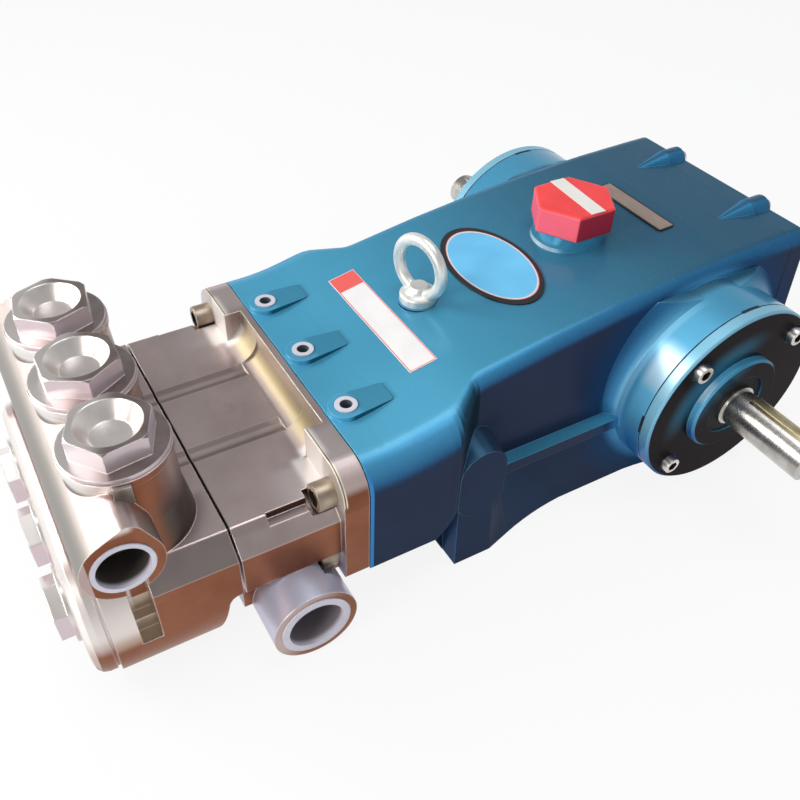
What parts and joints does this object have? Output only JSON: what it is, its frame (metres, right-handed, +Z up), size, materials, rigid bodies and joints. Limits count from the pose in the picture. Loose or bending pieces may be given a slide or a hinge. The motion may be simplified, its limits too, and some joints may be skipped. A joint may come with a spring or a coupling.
{
  "type": "triplex plunger pump",
  "caption": "Horizontal high-pressure plunger pump: blue enamelled crankcase, through crankshaft, lifting eye, filler cap and plated fluid end with valve plugs and pipe ports.",
  "frame": {"origin": "on the mounting plane, in the middle of the four foot holes", "axes": "+X along the crankshaft, +Y from the fluid end to the rear cover, +Z up"},
  "size_m": [0.54, 0.736, 0.2479],
  "materials": {
    "case_enamel": "glossy metallic blue enamel",
    "satin_nickel": "satin plated casting",
    "zinc_steel": "zinc plated",
    "screw_steel": "satin steel",
    "shaft_steel": "ground steel",
    "black_rubber": "matt",
    "gasket_paper": "matt",
    "port_plastic": "satin white plastic",
    "neck_blue": "glossy enamel",
    "red_plastic": "moulded plastic",
    "badge_blue": "printed plate",
    "bronze_foil": "brushed strip",
    "label_white": "printed film",
    "sight_glass": "clear amber"
  },
  "bodies": {
    "pump": {"bearing_cover_left": "case_enamel", "bearing_cover_right": "case_enamel", "bearing_left": "shaft_steel", "bearing_right": "shaft_steel", "blank_label": "label_white", "cover_screws_left": "zinc_steel", "cover_screws_right": "zinc_steel", "cover_shims_left": "gasket_paper", "cover_shims_right": "gasket_paper", "crankcase": "case_enamel", "discharge_liners": "port_plastic", "discharge_manifold": "satin_nickel", "drain_plug": "zinc_steel", "eyebolt": "zinc_steel", "filler_cap": "red_plastic", "filler_neck": "neck_blue", "flange_gasket": "gasket_paper", "flange_screws": "screw_steel", "inlet_liners": "port_plastic", "inlet_manifold": "satin_nickel", "low_plug_1": "satin_nickel", "low_plug_2": "satin_nickel", "low_plug_3": "satin_nickel", "manifold_seal": "black_rubber", "name_strip": "bronze_foil", "oil_sight_glass": "sight_glass", "oval_badge": "badge_blue", "plug_inserts": "port_plastic", "rear_cover": "case_enamel", "rear_cover_gasket": "gasket_paper", "rear_cover_screws": "zinc_steel", "shaft_seal_left": "black_rubber", "shaft_seal_right": "black_rubber", "valve_plug_1": "satin_nickel", "valve_plug_2": "satin_nickel", "valve_plug_3": "satin_nickel"},
    "crankshaft": {"crankshaft": "shaft_steel"}
  },
  "joints": [
    {"name": "crankshaft_spin", "type": "hinge", "parent": "pump", "child": "crankshaft", "pos_m": [0, 0.098, 0.1053], "axis": [1, 0, 0], "continuous": true}
  ]
}
